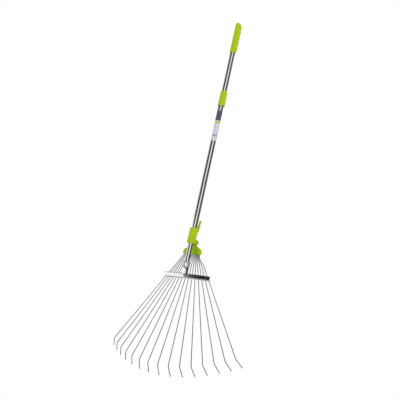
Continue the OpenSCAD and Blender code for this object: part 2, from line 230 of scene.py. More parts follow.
class Finish:
    """A new material with its main shader, and shortcuts for the nodes we use most."""

    def __init__(self, name):
        self.slot, self.material = name, bpy.data.materials.new(name)
        self.material.use_nodes = True
        self.nodes, self.links = self.material.node_tree.nodes, self.material.node_tree.links
        self.shader = self.nodes["Principled BSDF"]
        self.place = self.nodes.new("ShaderNodeTexCoord").outputs["Object"]

    def set(self, **values):
        for name, value in values.items():
            self.shader.inputs[name.replace("_", " ")].default_value = value

    def stretched(self, scale):
        """Object coordinates, drawn out or squeezed along each axis."""
        node = self.nodes.new("ShaderNodeMapping")
        node.inputs["Scale"].default_value = scale
        self.links.new(self.place, node.inputs["Vector"])
        return node.outputs["Vector"]

    def height(self):
        """The Z of the Object coordinates."""
        node = self.nodes.new("ShaderNodeSeparateXYZ")
        self.links.new(self.place, node.inputs["Vector"])
        return node.outputs["Z"]

    def noise(self, scale, detail=3.0, place=None, rough=0.5):
        node = self.nodes.new("ShaderNodeTexNoise")
        node.inputs["Scale"].default_value = scale
        node.inputs["Detail"].default_value = detail
        node.inputs["Roughness"].default_value = rough
        self.links.new(place or self.place, node.inputs["Vector"])
        return node.outputs["Fac"]

    def ramp(self, factor, stops, constant=False):
        node = self.nodes.new("ShaderNodeValToRGB")
        ramp = node.color_ramp
        ramp.interpolation = "CONSTANT" if constant else "LINEAR"
        ramp.elements[0].position, ramp.elements[0].color = stops[0][0], (*stops[0][1], 1)
        ramp.elements[1].position, ramp.elements[1].color = stops[-1][0], (*stops[-1][1], 1)
        for position, colour in stops[1:-1]:
            ramp.elements.new(position).color = (*colour, 1)
        self.links.new(factor, node.inputs["Fac"])
        return node.outputs["Color"]

    def between(self, factor, low, high, from_low=0.3, from_high=0.7):
        node = self.nodes.new("ShaderNodeMapRange")
        for name, value in (("From Min", from_low), ("From Max", from_high),
                            ("To Min", low), ("To Max", high)):
            node.inputs[name].default_value = value
        self.links.new(factor, node.inputs["Value"])
        return node.outputs["Result"]

    def relief(self, height, strength, distance, under=None):
        node = self.nodes.new("ShaderNodeBump")
        node.inputs["Strength"].default_value = strength
        node.inputs["Distance"].default_value = distance
        self.links.new(height, node.inputs["Height"])
        if under is not None:
            self.links.new(under, node.inputs["Normal"])
        return node.outputs["Normal"]

    def feed(self, name, output):
        self.links.new(output, self.shader.inputs[name])


# %% [markdown]
# ### Lime plastic
# Moulded polypropylene is coloured all through. Its colour clouds a little where
# the melt flowed, the tool leaves a fine grain, and handling polishes patches of
# it.

# %% Lime plastic
lime = Finish("lime_plastic")
lime.feed("Base Color", lime.ramp(lime.noise(38, 4), [
    (0.30, (0.405, 0.61, 0.001)), (0.55, (0.425, 0.635, 0.001)), (0.75, (0.445, 0.66, 0.001))]))
lime.feed("Roughness", lime.between(lime.noise(120, 5), 0.30, 0.44))
lime.feed("Normal", lime.relief(lime.noise(1500, 2), 0.12, 0.0001,
                                lime.relief(lime.noise(26, 2), 0.05, 0.0010)))
lime.set(Metallic=0.0, IOR=1.49, Specular_IOR_Level=0.25)
print("lime plastic:", len(lime.nodes), "nodes")

# %% [markdown]
# ### Chromed steel
# The tube is drawn through a die before it is plated, and the plating keeps the
# faint lengthwise lines. We get them from a noise that is squeezed across the
# tube and drawn out along it, and use it for roughness and for a hair of relief.

# %% Chromed steel
chrome = Finish("chromed_steel")
drawn = chrome.stretched((420, 420, 5))
chrome.feed("Base Color", chrome.ramp(chrome.noise(9, 3), [
    (0.35, (0.80, 0.79, 0.78)), (0.65, (0.87, 0.87, 0.88))]))
chrome.feed("Roughness", chrome.between(chrome.noise(1.0, 3, drawn), 0.07, 0.17))
chrome.feed("Normal", chrome.relief(chrome.noise(1.0, 2, drawn), 0.05, 0.0001))
chrome.set(Metallic=1.0)
print("chromed steel:", len(chrome.nodes), "nodes")

# %% [markdown]
# ### Spring wire
# Hardened wire is zinc-coated and a little dull, with darker patches at random,
# and it grows darker towards its tips.

# %% Spring wire
TIP_DARKENING, DARKENED_LENGTH = -0.42, 0.36
wire_finish = Finish("spring_wire")
tip_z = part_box("tine_08")[0].z
# darker towards the tips: the tone drops by 0.42 at the tip and the drop fades out 0.36 m above it
toward_tips = wire_finish.between(wire_finish.height(), TIP_DARKENING, 0.0, tip_z, tip_z + DARKENED_LENGTH)
wire_tone = wire_finish.nodes.new("ShaderNodeMath")
wire_tone.operation = "ADD"
wire_finish.links.new(wire_finish.noise(60, 5, rough=0.65), wire_tone.inputs[0])
wire_finish.links.new(toward_tips, wire_tone.inputs[1])
wire_finish.feed("Base Color", wire_finish.ramp(wire_tone.outputs["Value"], [
    (0.10, (0.10, 0.10, 0.097)), (0.35, (0.28, 0.28, 0.275)), (0.5, (0.40, 0.40, 0.395)),
    (0.72, (0.50, 0.50, 0.49))]))
wire_finish.feed("Roughness", wire_finish.between(wire_finish.noise(240, 3), 0.28, 0.48))
wire_finish.feed("Normal", wire_finish.relief(wire_finish.noise(900, 2), 0.12, 0.0002))
wire_finish.set(Metallic=0.6)
print("spring wire:", len(wire_finish.nodes), "nodes")

# %% [markdown]
# ### Galvanised sheet
# Zinc freezes on hot-dipped steel in flat crystals, the spangle. A cell pattern
# gives each crystal its own tone and gloss, and a fine noise roughens them.

# %% Galvanised sheet
sheet = Finish("galvanised_sheet")
spangle = sheet.nodes.new("ShaderNodeTexVoronoi")
spangle.inputs["Scale"].default_value = 190
sheet.links.new(sheet.place, spangle.inputs["Vector"])
tone = sheet.nodes.new("ShaderNodeSeparateColor")
sheet.links.new(spangle.outputs["Color"], tone.inputs["Color"])
sheet.feed("Base Color", sheet.ramp(tone.outputs["Red"], [
    (0.0, (0.66, 0.66, 0.62)), (0.5, (0.71, 0.71, 0.67)), (1.0, (0.77, 0.77, 0.73))]))
sheet.feed("Roughness", sheet.between(tone.outputs["Green"], 0.13, 0.21, 0.0, 1.0))
sheet.feed("Normal", sheet.relief(sheet.noise(700, 3), 0.12, 0.0003))
sheet.set(Metallic=1.0)
print("galvanised sheet:", len(sheet.nodes), "nodes")

# %% [markdown]
# ### Zinc and nylon
# Bolts, nuts, screws and the pin are zinc-plated: greyer than chrome, and blurred.
# The parts inside the locks are black nylon, which is nearly matt.

# %% Zinc-plated hardware, black nylon
zinc = Finish("zinc_steel")
zinc.feed("Base Color", zinc.ramp(zinc.noise(210, 4), [
    (0.3, (0.52, 0.53, 0.52)), (0.7, (0.68, 0.69, 0.68))]))
zinc.feed("Roughness", zinc.between(zinc.noise(300, 3), 0.22, 0.38))
zinc.feed("Normal", zinc.relief(zinc.noise(1400, 2), 0.12, 0.0002))
zinc.set(Metallic=1.0)

nylon = Finish("black_nylon")
nylon.feed("Base Color", nylon.ramp(nylon.noise(80, 3), [
    (0.3, (0.018, 0.018, 0.020)), (0.7, (0.032, 0.032, 0.034))]))
nylon.feed("Roughness", nylon.between(nylon.noise(200, 3), 0.42, 0.58))
nylon.feed("Normal", nylon.relief(nylon.noise(1300, 2), 0.2, 0.0002))
print("zinc:", len(zinc.nodes), "nodes, nylon:", len(nylon.nodes), "nodes")

# %% [markdown]
# ### Printed film
# The label is a plastic film shrunk round the tube. Ours has plain bands of ink:
# a dark head, a lime line and a silver field with one grey line near its foot.
# A ramp with constant steps reads the height on the sleeve, so the bands have
# crisp edges at any distance.

# %% Printed film
film = Finish("printed_film")
label_low, label_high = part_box("label_sleeve")
climb = film.between(film.height(), 0.0, 1.0, label_low.z, label_high.z)
SILVER, GREY = (0.70, 0.71, 0.77), (0.33, 0.35, 0.39)
INK, LIME_INK = (0.10, 0.097, 0.12), (0.40, 0.62, 0.02)
film.feed("Base Color", film.ramp(climb, [
    (0.0, SILVER), (0.15, GREY), (0.20, SILVER), (0.58, LIME_INK), (0.64, SILVER),
    (0.67, INK), (1.0, INK)], constant=True))
film.feed("Roughness", film.between(film.noise(90, 3), 0.22, 0.34))
film.feed("Normal", film.relief(film.noise(140, 2), 0.10, 0.0004))
film.set(Metallic=0.0)
print("printed film:", len(film.nodes), "nodes")

# %% [markdown]
# ## Helpers for the shapes
# Most of the rake is round or nearly round. So one helper does most of the work:
# it starts from a circle, extrudes its edges again and again, and moves each new
# ring of points to where a small function says. A second one turns an outline
# round the pole with spin, and a third lifts a flat outline into a slab.

# %% Rings, turned shapes and slabs


def next_ring(bm, ring):
    """Extrudes a closed ring of points and returns the new ring in the same order."""
    edges = [bm.edges.get((ring[i - 1], ring[i])) for i in range(len(ring))]
    made = set(bmesh.ops.extrude_edge_only(bm, edges=edges)["geom"])
    return [next(e.other_vert(v) for e in v.link_edges if e.other_vert(v) in made) for v in ring]


def loft(levels, place, count, ends="flat"):
    """Rings of count points, one for each level, where place(level, turn, number) says.

    The ends are closed flat, or as a strip across a folded sheet, or left open."""
    bm = bmesh.new()
    ring = sorted(bmesh.ops.create_circle(bm, segments=count, radius=1.0)["verts"],
                  key=lambda v: math.atan2(v.co.y, v.co.x) % math.tau)
    turns = [math.atan2(v.co.y, v.co.x) % math.tau for v in ring]
    first = ring
    for step, here in enumerate(levels):
        if step:
            ring = next_ring(bm, ring)
        for number, (point, turn) in enumerate(zip(ring, turns)):
            point.co = place(here, turn, number)
    for loop in (first, ring):
        if ends == "flat":
            bmesh.ops.edgeloop_fill(
                bm, edges=[bm.edges.get((loop[i - 1], loop[i])) for i in range(len(loop))])
        elif ends == "strip":
            for i in range(len(loop) // 2 - 1):
                four = [loop[i], loop[i + 1], loop[-2 - i], loop[-1 - i]]
                bmesh.ops.contextual_create(bm, geom=four)
    return bm


def turned(outline, steps):
    """A closed outline of (radius, height) points, spun round the Z axis."""
    bm = bmesh.new()
    points = [bm.verts.new((r, 0, z)) for r, z in outline]
    edges = [bm.edges.new((points[i - 1], points[i])) for i in range(len(points))]
    bmesh.ops.spin(bm, geom=points + edges, cent=(0, 0, 0), axis=(0, 0, 1), dvec=(0, 0, 0),
                   angle=math.tau, steps=steps, use_merge=True)
    bmesh.ops.remove_doubles(bm, verts=bm.verts, dist=1e-7)
    return bm


def slab(outline, across, thick):
    """A flat outline of Vectors that is lifted along across, half its thickness each way."""
    bm = bmesh.new()
    points = [bm.verts.new(p - across * (thick / 2)) for p in outline]
    edges = [bm.edges.new((points[i - 1], points[i])) for i in range(len(points))]
    face = bmesh.ops.edgeloop_fill(bm, edges=edges)["faces"]
    made = bmesh.ops.extrude_face_region(bm, geom=face, use_keep_orig=True)["geom"]
    bmesh.ops.translate(bm, verts=[g for g in made if isinstance(g, bmesh.types.BMVert)],
                        vec=across * thick)
    return bm


def bevel(bm, edges, width, segments):
    """Rounds the given edges."""
    bmesh.ops.bevel(bm, geom=edges, offset=width, offset_type="OFFSET", segments=segments,
                    profile=0.5, affect="EDGES", clamp_overlap=True, material=-1)


def soften(bm, width, segments, sharper_than=40, edges=None):
    """Rounds the edges that turn by more than an angle."""
    bmesh.ops.recalc_face_normals(bm, faces=bm.faces)
    limit = math.radians(sharper_than)
    bevel(bm, [e for e in (edges or bm.edges)
               if len(e.link_faces) == 2 and e.calc_face_angle(0.0) > limit], width, segments)
    return bm


def rounded(points, passes, keep=0.25):
    """Cuts the corners of a closed outline again and again, which rounds them."""
    for _ in range(passes):
        points = [p for i in range(len(points)) for p in (
            points[i - 1].lerp(points[i], 1 - keep),
            points[i].lerp(points[(i + 1) % len(points)], keep))]
    return points


def smooth_step(part):
    """Goes from 0 to 1 with a gentle start and end."""
    return part * part * (3 - 2 * part)


def clamped(value):
    """The value, kept between 0 and 1."""
    return min(1.0, max(0.0, value))


# %% Making a piece of a mesh, joining and cutting


def make_piece(name, bm, finish, body, stands_for, smooth_below=38):
    """The mesh becomes an object that rides on a body and stands for CAD nodes."""
    bmesh.ops.remove_doubles(bm, verts=bm.verts, dist=2e-7)
    bmesh.ops.recalc_face_normals(bm, faces=bm.faces)
    mesh = mesh_from(bm, name)
    mesh.shade_smooth()
    mesh.set_sharp_from_angle(angle=math.radians(smooth_below))
    mesh.materials.append(finish.material)
    piece = add_object(name, mesh)
    if body:
        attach(piece, body)
    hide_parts(*stands_for)
    print(name, "has", len(mesh.polygons), "faces")
    return piece


def carve(bm, cutter, operation="DIFFERENCE"):
    """Cuts one closed mesh with another, or joins them, with Blender's exact solver."""
    solids = []
    for shape in (bm, cutter):
        bmesh.ops.recalc_face_normals(shape, faces=shape.faces)
        solids.append(add_object("carving", mesh_from(shape, "carving")))
    modifier = solids[0].modifiers.new("carving", "BOOLEAN")
    modifier.operation, modifier.solver, modifier.object = operation, "EXACT", solids[1]
    modifier.use_self = True
    bpy.context.view_layer.update()
    result = bmesh.new()
    result.from_object(solids[0], bpy.context.evaluated_depsgraph_get())
    for solid in solids:
        mesh = solid.data
        bpy.data.objects.remove(solid)
        bpy.data.meshes.remove(mesh)
    return result


def box_at(low, high, bm=None):
    """A block between two corners."""
    bm = bm or bmesh.new()
    low, high = Vector(low), Vector(high)
    made = bmesh.ops.create_cube(bm, size=1)["verts"]
    bmesh.ops.scale(bm, verts=made, vec=high - low)
    bmesh.ops.translate(bm, verts=made, vec=(low + high) / 2)
    return bm


def rod(start, end, radius, bm=None, sides=32, radius_end=None):
    """A round rod from one point to another."""
    bm = bm or bmesh.new()
    start, end = Vector(start), Vector(end)
    turn = (end - start).to_track_quat("Z", "Y").to_matrix()
    made = bmesh.ops.create_cone(bm, cap_ends=True, segments=sides, radius1=radius,
                                 radius2=radius if radius_end is None else radius_end,
                                 depth=(end - start).length)["verts"]
    bmesh.ops.rotate(bm, verts=made, matrix=turn)
    bmesh.ops.translate(bm, verts=made, vec=(start + end) / 2)
    return bm


# %% [markdown]
# ## The pole
# The lower tube is round for most of its length. At its foot a press squeezes it
# flat, so that a bolt can hold it against the crossbar. A squeezed circle keeps
# its girth: as it loses depth it gains width. Each ring is therefore an oval
# whose depth shrinks while its width grows, and whose ends get squarer.

# %% Lower tube
TUBE_R, BORE_R = 11.0 * MM, 10.4 * MM
TONGUE_HALF, TONGUE_THICK, TONGUE_Y = 15.0 * MM, 3.0 * MM, 2.5 * MM
PRESS_TOP, PRESS_FOOT = 75.0, 32.0
tube_top = (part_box("lower_tube")[1].z - bar_foot) / MM


def tube_point(level_here, turn, _):
    height, inset, bore = level_here
    squeeze = smooth_step(clamped((PRESS_TOP - height) / (PRESS_TOP - PRESS_FOOT)))
    radius = BORE_R if bore else TUBE_R
    half = radius + squeeze * (TONGUE_HALF - radius) - inset
    depth = radius + squeeze * (TONGUE_THICK / 2 - radius)
    square = 2 / (2 + 1.3 * squeeze)
    x, y = math.cos(turn), math.sin(turn)
    return Vector((half * math.copysign(abs(x) ** square, x),
                   squeeze * TONGUE_Y + depth * math.copysign(abs(y) ** square, y),
                   above_bar(height)))


# Every ring is (height above the bar's foot, how far its edge is drawn in, whether it is bore).
tongue_end = [(1.5 + 8 * (1 - math.cos(a)), 8 * MM * (1 - math.sin(a)), False)
              for a in (0.12, 0.4, 0.7, 1.0, 1.3, math.pi / 2)]
pressed = [(h, 0.0, False) for h in [12 + 2.5 * i for i in range(27)]]
skin = [(h, 0.0, False) for h in (100, 250, 400, 550, 700, tube_top)]
bore = [(h, 0.0, True) for h in (tube_top, 500, 250, 100, 77)]
tube_bm = loft(tongue_end + pressed + skin + bore, tube_point, 128)
make_piece("lower_tube_skin", tube_bm, chrome, "pole", ["lower_tube"])

# %% Upper tube and label
upper_low, upper_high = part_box("upper_tube")
UPPER_R, WALL = upper_high.x, 0.6 * MM
make_piece("upper_tube_skin", turned([
    (UPPER_R, upper_low.z), (UPPER_R, upper_low.z + 0.3), (UPPER_R, upper_high.z),
    (UPPER_R - WALL, upper_high.z), (UPPER_R - WALL, upper_low.z)], 128),
    chrome, "upper_pole", ["upper_tube"])

FILM_IN, FILM_EDGE, FILM_OUT, FILM_BEVEL = (
    TUBE_R + 0.05 * MM, TUBE_R + 0.17 * MM, TUBE_R + 0.25 * MM, 0.3 * MM)
label_outline = [(FILM_IN, label_low.z), (FILM_EDGE, label_low.z),
                 (FILM_OUT, label_low.z + FILM_BEVEL), (FILM_OUT, label_high.z - FILM_BEVEL),
                 (FILM_EDGE, label_high.z), (FILM_IN, label_high.z)]
make_piece("label_film", turned(label_outline, 128), film, "pole",
           ["label_sleeve"])

# %% [markdown]
# ## The grip
# The grip is one moulding with five swellings for the fingers on its far side.
# They fade out towards the front, which is nearly straight for the palm. The end
# is a slanting dome, highest at the front. Rings are the natural way: a function
# of height and direction says how far each point stands from the tube.

# %% Grip
grip_low, grip_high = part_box("grip")
GRIP_L = (grip_high.z - grip_low.z) / MM
GRIP_R, SWELLING, PITCH, FIRST = 12.9, 3.6, 24.3, 19.0
DOME_WIDE, DOME_TALL, DOME_Y, DOME_DROP, SIDE_TOP = 25.0, 44.0, -7.5, 2.5, 100.0
FADE_FROM, FADE_OVER, TOP_FULLNESS, GRIP_SMOOTHINGS = 5.5, 3.0, 1.2, 30


def grip_radius(height, turn):
    """How far the side stands from the axis: the swellings grow towards the fingers' side."""
    finger_side = (0.5 + 0.5 * math.sin(turn)) ** 1.15
    wave = abs(math.cos(math.pi * (height - FIRST) / PITCH)) ** 0.75
    fade = clamped((height - FADE_FROM) / FADE_OVER)
    return GRIP_R + SWELLING * finger_side * wave * fade


def dome_height(x, y):
    """The height of the slanting dome over a place beside the axis."""
    away = math.hypot(x, y - DOME_Y) / DOME_WIDE
    return GRIP_L - DOME_DROP - DOME_TALL * (1 - math.sqrt(max(0.0, 1 - away ** 2)))


def grip_point(level_here, turn, _):
    kind, value = level_here
    if kind == "rim":
        radius, height = value
    elif kind == "side":
        radius, height = grip_radius(value, turn), value
    else:
        radius = GRIP_R + TOP_FULLNESS * (0.5 + 0.5 * math.sin(turn))
        edge = dome_height(radius * math.cos(turn), radius * math.sin(turn))
        if kind == "rise":
            height = SIDE_TOP + (edge - SIDE_TOP) * value
            swell = grip_radius(height, turn)
            radius = swell + (radius - swell) * value ** 2
        else:
            radius *= 1 - value
            height = dome_height(radius * math.cos(turn), radius * math.sin(turn))
    point = Vector((radius * math.cos(turn), radius * math.sin(turn), height))
    return point * MM + Vector((0, 0, grip_low.z))


grip_levels = [("rim", ring) for ring in (
    (10.4, 110.0), (10.4, 0.4), (10.8, 0.0), (13.2, 0.0), (13.6, 0.3), (13.8, 0.9), (13.8, 4.0),
    (13.5, 4.8), (12.9, 5.2))]
grip_levels += [("side", FADE_FROM + 1.25 * i) for i in range(76)]
grip_levels += [("rise", i / 20) for i in range(1, 20)]
grip_levels += [("dome", v) for v in (0.02, 0.05, 0.1, 0.18, 0.28, 0.4, 0.55, 0.7, 0.85, 0.96)]
grip_bm = loft(grip_levels, grip_point, 112)
crown = [v for v in grip_bm.verts
         if v.co.z > grip_low.z + SIDE_TOP * MM and v.co.xy.length > 9 * MM]
for _ in range(GRIP_SMOOTHINGS):
    bmesh.ops.smooth_vert(grip_bm, verts=crown, factor=0.5, use_axis_x=True, use_axis_y=True,
                          use_axis_z=True)
make_piece("grip_moulding", grip_bm, lime, "upper_pole", ["grip"], 60)
print("the grip is", round(GRIP_L, 1), "mm long")

# %% [markdown]
# ## The twist-lock collar
# A quarter turn of this sleeve squeezes a slotted nylon ring on the upper tube.
# It narrows a little towards its top. Shallow flutes let a wet hand turn it: they
# are a small dip in the radius that repeats round the collar and fades out before
# both ends.

# %% Collar
collar_low, collar_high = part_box("lock_collar")
COLLAR_L = (collar_high.z - collar_low.z) / MM - 2.0
COLLAR_R, COLLAR_TAPER, GROOVE, FLUTES, FLUTE_DEPTH = 14.7, 0.8, 0.35, 28, 0.28
CAVITY_R, MOUTH_R, SHELF = 12.75, 10.5, COLLAR_L - 5


def collar_point(level_here, turn, _):
    radius, height, fluted = level_here
    dip = fluted * FLUTE_DEPTH * (0.5 + 0.5 * math.cos(FLUTES * turn)) ** 2
    radius = (radius - dip) * MM
    return Vector((radius * math.cos(turn), radius * math.sin(turn), collar_low.z + height * MM))


def collar_r(height):
    """The skin's radius at a height: it narrows towards the top."""
    return COLLAR_R - COLLAR_TAPER * height / COLLAR_L


# Every ring is (radius, height above the collar's foot, depth of the flutes from 0 to 1).
collar_levels = [(CAVITY_R, 1.0, 0), (CAVITY_R, 0.3, 0), (13.0, 0.0, 0), (14.2, 0.0, 0),
                 (14.55, 0.15, 0), (COLLAR_R, 0.5, 0)]
collar_levels += [(collar_r(h), h, 0) for h in (3.0, 4.0)]
collar_levels += [(collar_r(h) - GROOVE, h, 0) for h in (4.4, 5.4)] + [(collar_r(5.8), 5.8, 0)]
collar_levels += [(collar_r(7 + i * 2), 7 + i * 2, min(1.0, i / 3, (24 - i) / 3))
                  for i in range(25)]
collar_levels += [(collar_r(h), h, 0) for h in (56.5, 60.0, 62.5)]
collar_levels += [(13.95 - 3 * (1 - math.cos(a)), COLLAR_L - 3 + 3 * math.sin(a), 0)
                  for a in (0.3, 0.6, 0.9, 1.2, 1.5)]
collar_levels += [(10.8, COLLAR_L, 0), (MOUTH_R, COLLAR_L - 0.3, 0), (MOUTH_R, SHELF, 0),
                  (CAVITY_R, SHELF, 0), (CAVITY_R, 1.0, 0)]
collar_bm = loft(collar_levels, collar_point, 168, ends="open")
make_piece("collar_moulding", collar_bm, lime, "collar",
           ["lock_collar"], 45)

# %% [markdown]
# ## The slider
# The slider is a sleeve that runs on the tube. At its back two ears carry the
# lever's pin, and two lugs below carry the bolt that holds the tine holder. We
# turn the sleeve, add the ears and lugs as slabs with rounded ends, join them,
# cut the lever's slot, and only then break the sharp edges.

# %% Slider sleeve
slider_low, slider_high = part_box("slider_sleeve")
SLIDER_R = slider_high.x
SLIDER_L = 63.0 * MM
PIN = Vector((0, 18.5 * MM, slider_low.z + SLIDER_L - 6 * MM))
BOLT = Vector((0, 27.5 * MM, slider_low.z + 10 * MM))
ACROSS = Vector((1, 0, 0))
EAR_R, EAR_T, EAR_X, LUG_T, LUG_X = 5.5 * MM, 3 * MM, 6.1, 5.4 * MM, 6.3
z0, z1 = slider_low.z, slider_low.z + SLIDER_L
sleeve_bm = turned([(11.5 * MM, z0), (SLIDER_R - 1.3 * MM, z0),
                    (SLIDER_R - 0.4 * MM, z0 + 0.35 * MM),
                    (SLIDER_R, z0 + 1.3 * MM), (SLIDER_R, z1 - 1.3 * MM),
                    (SLIDER_R - 0.4 * MM, z1 - 0.35 * MM), (SLIDER_R - 1.3 * MM, z1),
                    (11.5 * MM, z1),
                    (11.1 * MM, z1 - 0.5 * MM), (11.1 * MM, z0 + 0.5 * MM)], 144)


def plate_outline(centre, radius, root_y, low_z, high_z, steps=14):
    """A plate's side outline: a round nose about centre and a square root near the tube."""
    nose = [centre + Vector((0, radius * math.cos(a), radius * math.sin(a)))
            for a in (math.radians(-90 + 180 * i / steps) for i in range(steps + 1))]
    nose[0].z, nose[-1].z = min(nose[0].z, low_z), max(nose[-1].z, high_z)
    return nose + [Vector((0, root_y, high_z)), Vector((0, root_y, low_z))]


ear_outline = plate_outline(PIN, EAR_R, 13 * MM, PIN.z - EAR_R, PIN.z + EAR_R)
lug_outline = [Vector((0, y * MM, z0 + z * MM)) for y, z in (
    (14, 0), (27.5, 0), (31.5, 1.6), (34, 6), (34, 13), (31.5, 17.5), (27, 20), (14, 20))]
for sign in (-1, 1):
    ear = slab([p + ACROSS * sign * EAR_X * MM for p in ear_outline], ACROSS, EAR_T)
    sleeve_bm = carve(sleeve_bm, ear, "UNION")
    lug = slab([p + ACROSS * sign * LUG_X * MM for p in lug_outline], ACROSS, LUG_T)
    sleeve_bm = carve(sleeve_bm, lug, "UNION")
slot_cut = box_at((-4.6 * MM, 13.7 * MM, PIN.z - 9 * MM), (4.6 * MM, 30 * MM, z1 + 5 * MM))
sleeve_bm = carve(sleeve_bm, slot_cut)
print("slider sleeve:", len(sleeve_bm.faces), "faces")

# %% Slider's edges
back_edges = [e for e in sleeve_bm.edges if all(v.co.y > 14 * MM for v in e.verts)
              and (e.verts[0].co - e.verts[1].co).length > 0.3 * MM]
soften(sleeve_bm, 0.45 * MM, 2, 50, back_edges)
make_piece("slider_moulding", sleeve_bm, lime, "slider",
           ["slider_sleeve"], 35)

# %% [markdown]
# ## The cam lever
# The lever is a flat hook on a round, off-centre hub: turned down, the hub stops
# pressing on the tube. We draw its side outline about the pin, cut the corners of
# the outline to get flowing curves, lift it to its width, round the edges and
# drill it for the pin.

# %% Cam lever
LEVER_W, PIN_R, PIN_HOLE_R = 8.6 * MM, 1.5 * MM, 1.65 * MM
lever_points = [(-1.5, -4.6), (2.4, -4.4), (4.6, -1.6), (8.6, 4.5), (11.6, 13), (12.0, 20),
                (11.0, 27), (11.0, 33), (12.8, 38), (13.4, 42), (12.2, 46.5), (8.6, 46.6),
                (6.2, 43.6), (7.0, 41.6), (8.4, 40.6), (7.4, 36.0), (4.8, 30), (3.4, 22),
                (2.8, 14), (2.4, 8), (1.6, 4.6), (-1.5, 4.5), (-4.6, 2.0), (-4.6, -2.4)]
lever_outline = rounded([PIN + Vector((0, y * MM, z * MM)) for y, z in lever_points], 2)
lever_bm = soften(slab(lever_outline, ACROSS, LEVER_W), 1.1 * MM, 4, 60)
lever_bm = carve(lever_bm, rod(PIN - ACROSS * 7 * MM, PIN + ACROSS * 7 * MM, PIN_HOLE_R))
make_piece("cam_lever_moulding", lever_bm, lime, "lever",
           ["cam_lever"], 50)

# %% Pin of the lever, and the clamp bolt with its nut
BOLT_R, HEAD_R, SOCKET_R = 2.5 * MM, 4.6 * MM, 2.3 * MM
pin_bm = soften(rod(PIN - ACROSS * 7.9 * MM, PIN + ACROSS * 7.9 * MM, PIN_R), 0.3 * MM, 2)
make_piece("lever_pin_turned", pin_bm, zinc, "slider", ["lever_pin"])
bolt_bm = rod(BOLT - ACROSS * 9 * MM, BOLT + ACROSS * 14 * MM, BOLT_R)
rod(BOLT - ACROSS * 12.6 * MM, BOLT - ACROSS * 9 * MM, HEAD_R, bolt_bm, 48)
socket = rod(BOLT - ACROSS * 14 * MM, BOLT - ACROSS * 10.8 * MM, SOCKET_R, sides=6)
bolt_bm = carve(bolt_bm, socket)
make_piece("clamp_bolt_turned", soften(bolt_bm, 0.35 * MM, 2, 50), zinc, "slider", ["clamp_bolt"])
nut_bm = rod(BOLT + ACROSS * 9 * MM, BOLT + ACROSS * 13 * MM, HEAD_R, sides=6)
make_piece("clamp_nut_hex", soften(nut_bm, 0.5 * MM, 3, 35), zinc, "slider", ["clamp_nut"])

# %% [markdown]
# ## The tine holder
# Two curved shells clamp the fifteen wires. Each shell is a section swept along
# the arc. The section has a recess at its foot, so between the shells there is a
# dark mouth that the wires come out of. The top of the shells slopes up to a neck
# in the middle, so every station of the sweep has its own height.

# %% Holder shells
HOLDER_FOOT, HOLDER_HALF, ARC = 102.0, 45.0, 141.0
ARC_Y = 27.5 - ARC
NECK_HALF, NECK_TOP, END_TOP, LAST_FROM = 13, 137.0, 122.5, 42
SHELL_T, SEAM, MOUTH = 4.8, 0.15, 2.4


def shoulder(x):
    """Height of the holder's top edge at a place across it."""
    x = abs(x)
    if x <= NECK_HALF:
        return NECK_TOP
    if x <= LAST_FROM:
        return NECK_TOP - (NECK_TOP - END_TOP) * (x - NECK_HALF) / (LAST_FROM - NECK_HALF)
    return END_TOP - 4.5 * ((x - LAST_FROM) / (HOLDER_HALF - LAST_FROM)) ** 2


def shell_point(outer, inner, mouth):
    """One point of a shell's section: outer is the skin's radius, inner the seam's."""
    lean = 1 if outer > inner else -1

    def place(station, _turn, number):
        x, open_mouth = station
        roof = shoulder(x)
        recess = mouth * open_mouth
        section = [(outer, HOLDER_FOOT + 0.8), (outer - lean * 0.8, HOLDER_FOOT),
                   (inner + lean * (recess + 0.3), HOLDER_FOOT),
                   (inner + lean * recess, HOLDER_FOOT + 0.4),
                   (inner + lean * recess, HOLDER_FOOT + 4.5), (inner, HOLDER_FOOT + 4.6),
                   (inner, roof - 0.5), (inner + lean * 0.5, roof),
                   (outer - lean * 1.2, roof), (outer - lean * 0.35, roof - 0.35),
                   (outer, roof - 1.2)]
        radius, height = section[number]
        return Vector((x * MM, (ARC_Y + math.sqrt(radius ** 2 - x ** 2)) * MM, above_bar(height)))
    return place


# Every station is (place across the holder, whether the mouth is open there).
left_end = [(-HOLDER_HALF, 0), (-44.6, 0), (-43.5, 0), (-43.5, 1)]
stations = left_end + [(-LAST_FROM + 2.0 * i, 1) for i in range(43)]
stations += [(-x, is_open) for x, is_open in left_end[::-1]]
front_bm = loft(stations, shell_point(ARC - SHELL_T, ARC - SEAM, MOUTH), 11)
back_bm = loft(stations, shell_point(ARC + SHELL_T, ARC + SEAM, MOUTH), 11)
print("shells:", len(front_bm.faces), len(back_bm.faces), "faces")

# %% Screw bosses, ribs, neck and tongue of the holder
SCREW_X, SCREW_H = 20, 126


def at(x, y, height):
    """A point from millimetres across, behind the pole's axis and above the bar's foot."""
    return Vector((x * MM, y * MM, above_bar(height)))


for sign in (-1, 1):
    boss_foot = at(sign * SCREW_X, 24.0, SCREW_H)
    rod(boss_foot, boss_foot - Vector((0, 3.8 * MM, 0)), 5.6 * MM, front_bm, 48, 4.6 * MM)
    rod(boss_foot - Vector((0, 3.5 * MM, 0)), boss_foot - Vector((0, 4.2 * MM, 0)),
        3.6 * MM, front_bm, 48, 3.2 * MM)
    rod(at(sign * 13, 23.4, 131), at(sign * 40, 18.0, 116), 1.3 * MM, front_bm, 24, 1.0 * MM)
make_piece("holder_front_shell", soften(front_bm, 0.35 * MM, 2, 60), lime, "slider",
           ["holder_front"], 45)
for low, high in (((-8, 28.5, 126), (8, 33.3, 141.6)), ((-8, 24.0, 137.5), (8, 29.5, 141.6)),
                  ((-3.5, 20.4, 138.5), (3.5, 33.6, 161))):
    box_at(at(*low), at(*high), back_bm)
for sign in (-1, 1):
    rod(at(sign * 8, 32.2, 134), at(sign * 38, 27.2, 118), 1.4 * MM, back_bm, 24, 1.0 * MM)
make_piece("holder_back_shell", soften(back_bm, 0.4 * MM, 2, 60), lime, "slider",
           ["holder_back"], 45)

